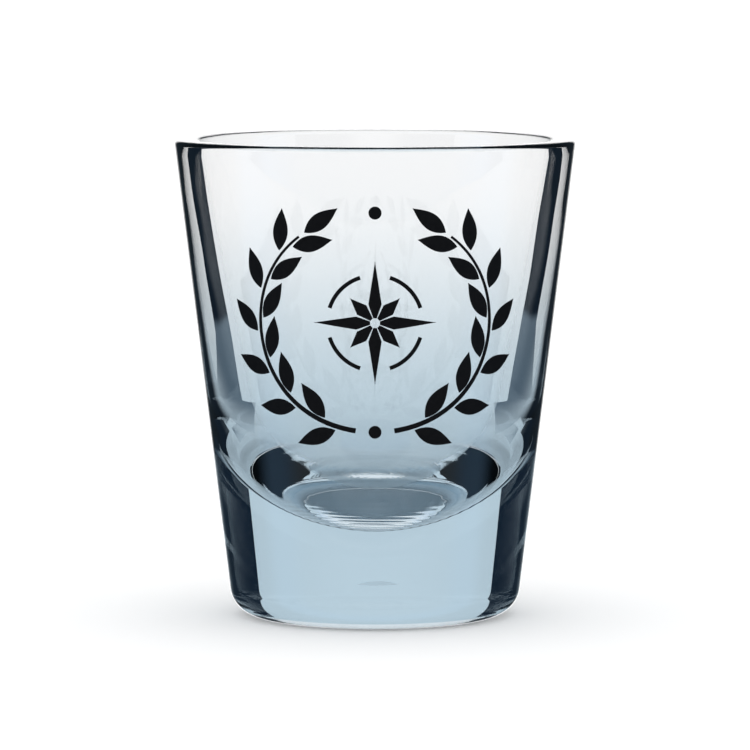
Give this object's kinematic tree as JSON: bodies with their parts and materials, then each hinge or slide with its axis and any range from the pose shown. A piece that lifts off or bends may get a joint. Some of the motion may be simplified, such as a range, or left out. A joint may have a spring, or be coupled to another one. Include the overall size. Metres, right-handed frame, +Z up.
{
  "type": "shot glass",
  "caption": "Tapered spirit glass with a heavy solid base, a blue lacquer fade on its lower half and a printed wreath round a compass star.",
  "frame": {"origin": "on the axis of the glass, at the level it stands on", "axes": "+Z up along the axis to the mouth; the printed front faces -Y; +X is to the right seen from the front"},
  "size_m": [0.0508, 0.0508, 0.0605],
  "materials": {
    "glass": "clear pressed soda-lime glass, fire-polished lip",
    "lacquer": "translucent blue spray lacquer, strongest at the foot and fading to clear above mid height",
    "ink": "opaque black screen-printed ink, satin gloss"
  },
  "bodies": {
    "root": {"glass_body": "glass", "tint_coat": "lacquer", "print_berry_bottom": "ink", "print_berry_top": "ink", "print_leaf_left_inner_1": "ink", "print_leaf_left_inner_2": "ink", "print_leaf_left_inner_3": "ink", "print_leaf_left_inner_4": "ink", "print_leaf_left_inner_5": "ink", "print_leaf_left_inner_6": "ink", "print_leaf_left_outer_1": "ink", "print_leaf_left_outer_2": "ink", "print_leaf_left_outer_3": "ink", "print_leaf_left_outer_4": "ink", "print_leaf_left_outer_5": "ink", "print_leaf_left_outer_6": "ink", "print_leaf_left_tip": "ink", "print_leaf_right_inner_1": "ink", "print_leaf_right_inner_2": "ink", "print_leaf_right_inner_3": "ink", "print_leaf_right_inner_4": "ink", "print_leaf_right_inner_5": "ink", "print_leaf_right_inner_6": "ink", "print_leaf_right_outer_1": "ink", "print_leaf_right_outer_2": "ink", "print_leaf_right_outer_3": "ink", "print_leaf_right_outer_4": "ink", "print_leaf_right_outer_5": "ink", "print_leaf_right_outer_6": "ink", "print_leaf_right_tip": "ink", "print_ring_arc_northeast": "ink", "print_ring_arc_northwest": "ink", "print_ring_arc_southeast": "ink", "print_ring_arc_southwest": "ink", "print_star_ray_east": "ink", "print_star_ray_north": "ink", "print_star_ray_northeast": "ink", "print_star_ray_northwest": "ink", "print_star_ray_south": "ink", "print_star_ray_southeast": "ink", "print_star_ray_southwest": "ink", "print_star_ray_west": "ink", "print_stem_left": "ink", "print_stem_right": "ink"}
  },
  "joints": []
}
